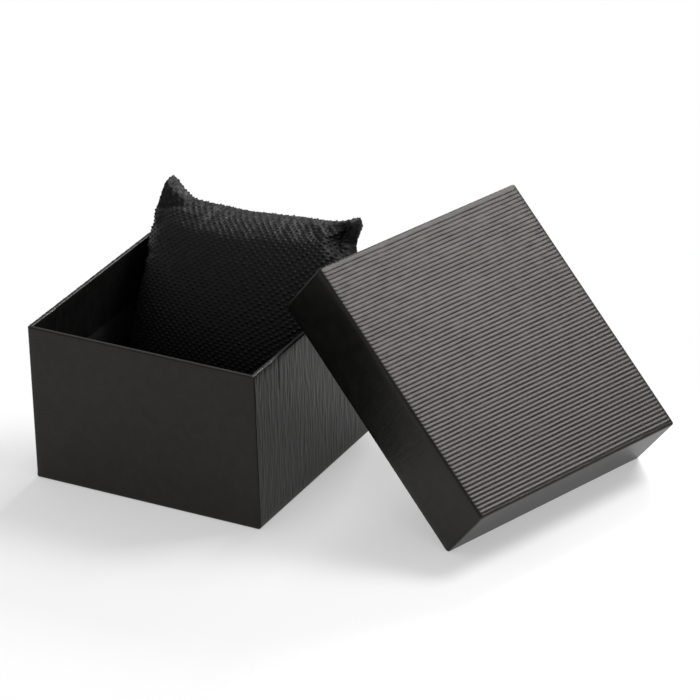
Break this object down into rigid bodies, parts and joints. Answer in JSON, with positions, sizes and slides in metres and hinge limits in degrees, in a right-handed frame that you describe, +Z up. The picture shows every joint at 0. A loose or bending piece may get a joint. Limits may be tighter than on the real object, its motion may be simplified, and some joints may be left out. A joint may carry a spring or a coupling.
{
  "type": "single watch box",
  "caption": "Small square gift box for one watch: an open paper-covered tray, a lift-off lid leaning on it and a stuffed cushion standing inside.",
  "frame": {"origin": "centre of the base tray's underside", "axes": "+X along the front wall towards the leaning lid, +Y to the back wall, +Z up out of the open tray"},
  "size_m": [0.1762, 0.112, 0.0761],
  "materials": {
    "ribbed_black_paper": "satin",
    "plain_black_paper": "matte",
    "greyboard": "matte",
    "corner_tape": "matte",
    "black_hopsack_cloth": "matte",
    "fibre_filling": "matte",
    "black_thread": "matte"
  },
  "bodies": {
    "base": {"base_greyboard": "greyboard", "base_wrap": "ribbed_black_paper", "base_lining": "plain_black_paper", "base_corner_tape_front_left": "corner_tape", "base_corner_tape_front_right": "corner_tape", "base_corner_tape_back_left": "corner_tape", "base_corner_tape_back_right": "corner_tape"},
    "lid": {"lid_greyboard": "greyboard", "lid_wrap": "ribbed_black_paper", "lid_lining": "plain_black_paper", "lid_corner_tape_front_left": "corner_tape", "lid_corner_tape_front_right": "corner_tape", "lid_corner_tape_back_left": "corner_tape", "lid_corner_tape_back_right": "corner_tape"},
    "cushion": {"cushion_front_panel": "black_hopsack_cloth", "cushion_back_panel": "black_hopsack_cloth", "cushion_filling": "fibre_filling", "cushion_closing_stitches": "black_thread"}
  },
  "joints": [
    {"name": "lid_lift", "type": "slide", "parent": "base", "child": "lid", "axis": [0.6209, -0.2078, 0.7559], "range_m": [0, 0.12]},
    {"name": "cushion_lift", "type": "slide", "parent": "base", "child": "cushion", "axis": [0, 0, 1], "range_m": [0, 0.09]}
  ]
}
